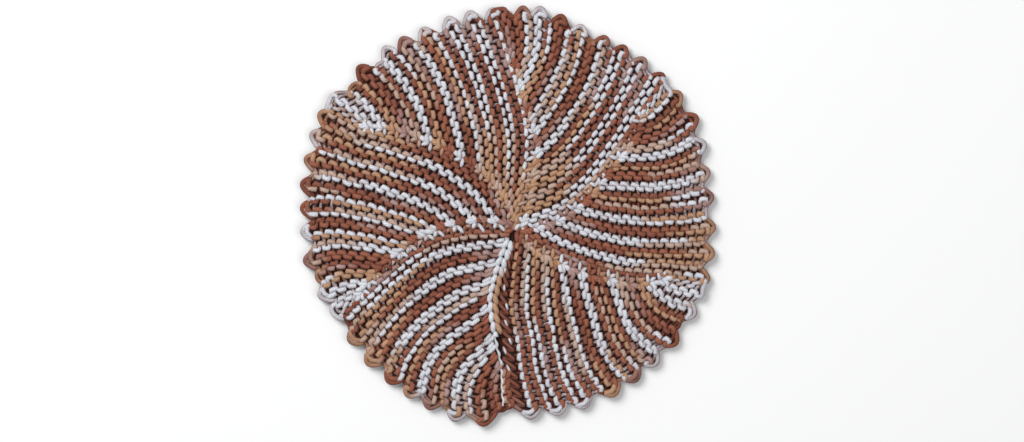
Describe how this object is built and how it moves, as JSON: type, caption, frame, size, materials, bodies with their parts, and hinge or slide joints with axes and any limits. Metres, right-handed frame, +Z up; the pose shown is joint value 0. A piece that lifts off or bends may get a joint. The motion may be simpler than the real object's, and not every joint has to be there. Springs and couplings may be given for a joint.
{
  "type": "round knitted dishcloth",
  "caption": "Round hand-knitted cotton dishcloth in garter stitch, worked in short-row wedges that swirl from the middle to a scalloped rim, for washing and wiping dishes.",
  "frame": {"origin": "on the surface the cloth lies on, under the middle of its outline seen from above", "axes": "+Z is up out of the right side; +Y runs toward the top of the picture; +X runs toward its right"},
  "size_m": [0.2124, 0.215, 0.0061],
  "materials": {
    "cotton_yarn": "matt plied cotton yarn, dyed in runs of dark brown, tan, beige, mauve and pale blue-white"
  },
  "bodies": {
    "root": {"dishcloth": "cotton_yarn"}
  },
  "joints": []
}
